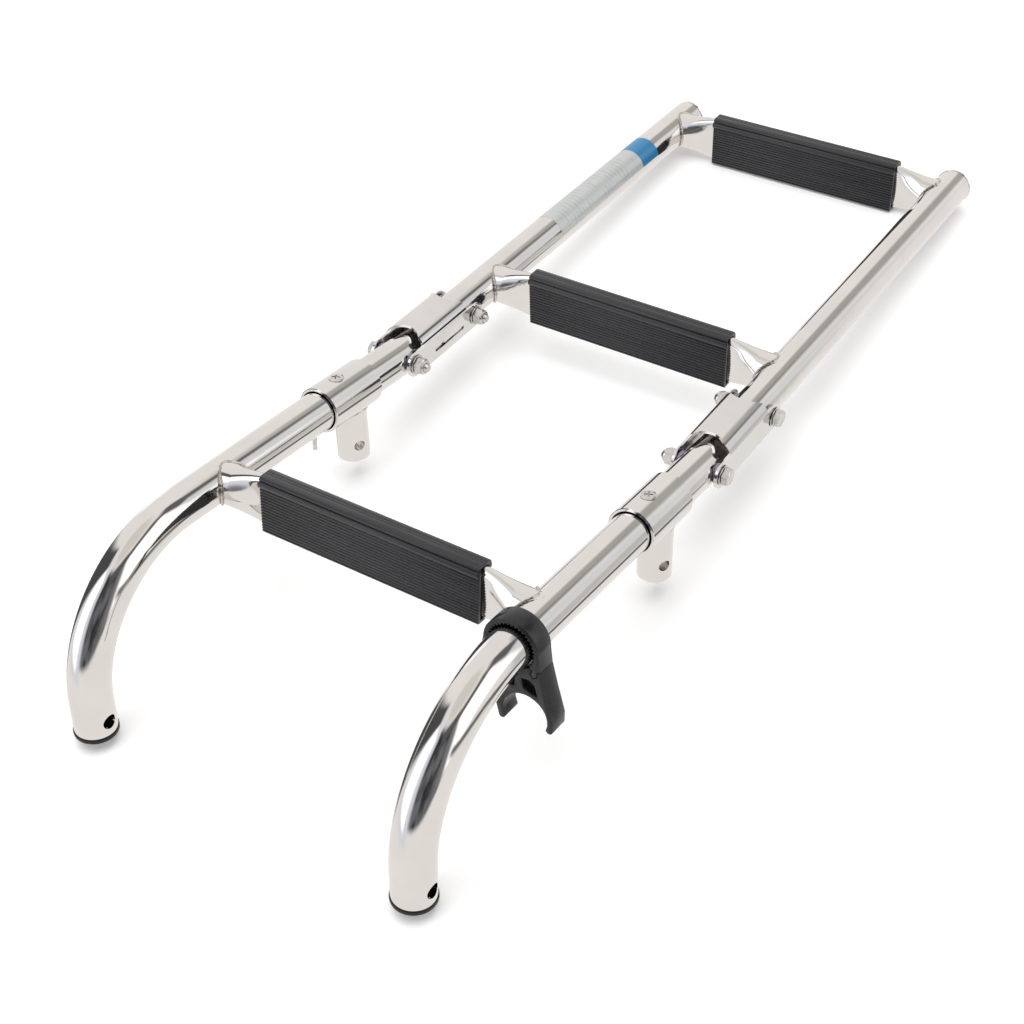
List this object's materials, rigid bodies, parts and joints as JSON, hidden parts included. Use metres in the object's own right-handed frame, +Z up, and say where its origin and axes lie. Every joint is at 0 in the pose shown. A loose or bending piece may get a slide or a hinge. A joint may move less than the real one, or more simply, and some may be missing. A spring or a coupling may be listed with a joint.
{
  "type": "folding boat boarding ladder",
  "caption": "Folding boarding ladder of polished tube with ribbed treads, hooked upper rails, hinge links, leg sockets and a stowing clip.",
  "frame": {"origin": "on the floor half way along the open ladder, in the middle between its rails; the clip puts the middle of the whole box 3 mm further to the right", "axes": "+Y runs along the ladder from the bent feet to the far rail ends, +X across it to the side that carries the clip, +Z up"},
  "size_m": [0.2701, 0.7122, 0.1129],
  "materials": {
    "polished_tube": "mirror polished stainless steel tube",
    "weld_steel": "polished weld bead",
    "fastener_steel": "bright stainless fastener",
    "tread_plastic": "ribbed extruded plastic, satin",
    "clip_plastic": "moulded plastic, matt",
    "cap_plastic": "moulded plastic, matt",
    "bush_plastic": "moulded nylon, satin"
  },
  "bodies": {
    "upper_section": {"upper_rung": "polished_tube", "upper_tread": "tread_plastic", "upper_left_weld": "weld_steel", "upper_right_weld": "weld_steel", "left_rail_pin": "fastener_steel", "left_upper_rail": "polished_tube", "left_foot_cap": "cap_plastic", "left_leg_socket": "polished_tube", "left_socket_screw": "fastener_steel", "left_upper_outer_bush": "bush_plastic", "left_upper_inner_bush": "bush_plastic", "right_upper_rail": "polished_tube", "right_foot_cap": "cap_plastic", "right_leg_socket": "polished_tube", "right_socket_screw": "fastener_steel", "right_upper_outer_bush": "bush_plastic", "right_upper_inner_bush": "bush_plastic"},
    "clip": {"clip_strap": "clip_plastic", "clip_jaw": "clip_plastic"},
    "left_link": {"left_link": "polished_tube", "left_upper_bolt": "fastener_steel", "left_upper_nut": "fastener_steel", "left_upper_outer_washer": "fastener_steel", "left_upper_inner_washer": "fastener_steel", "left_lower_bolt": "fastener_steel", "left_lower_nut": "fastener_steel", "left_lower_outer_washer": "fastener_steel", "left_lower_inner_washer": "fastener_steel"},
    "right_link": {"right_link": "polished_tube", "right_upper_bolt": "fastener_steel", "right_upper_nut": "fastener_steel", "right_upper_outer_washer": "fastener_steel", "right_upper_inner_washer": "fastener_steel", "right_lower_bolt": "fastener_steel", "right_lower_nut": "fastener_steel", "right_lower_outer_washer": "fastener_steel", "right_lower_inner_washer": "fastener_steel"},
    "lower_section": {"middle_rung": "polished_tube", "middle_tread": "tread_plastic", "middle_left_weld": "weld_steel", "middle_right_weld": "weld_steel", "end_rung": "polished_tube", "end_tread": "tread_plastic", "end_left_weld": "weld_steel", "end_right_weld": "weld_steel", "left_lower_rail": "polished_tube", "left_end_cap": "fastener_steel", "left_lower_outer_bush": "bush_plastic", "left_lower_inner_bush": "bush_plastic", "right_lower_rail": "polished_tube", "right_end_cap": "fastener_steel", "right_lower_outer_bush": "bush_plastic", "right_lower_inner_bush": "bush_plastic"}
  },
  "joints": [
    {"name": "left_link_fold", "type": "hinge", "parent": "upper_section", "child": "left_link", "pos_m": [-0.111, -0.03774, 0.05607], "axis": [1, 0, 0], "range_deg": [-5.6, 88.08]},
    {"name": "right_link_fold", "type": "hinge", "parent": "upper_section", "child": "right_link", "pos_m": [0.111, -0.03774, 0.05607], "axis": [1, 0, 0], "range_deg": [-5.6, 88.08]},
    {"name": "lower_fold", "type": "hinge", "parent": "left_link", "child": "lower_section", "pos_m": [-0.111, 0.02953, 0.0494], "axis": [1, 0, 0], "range_deg": [0, 93.68]},
    {"name": "clip_swing", "type": "hinge", "parent": "upper_section", "child": "clip", "pos_m": [0.111, -0.23316, 0.09499], "axis": [0, -0.9807, 0.1953], "range_deg": [-90, 165.8]}
  ],
  "couplings": [
    {"joint": "right_link_fold", "follows": "left_link_fold", "ratio": 1}
  ]
}
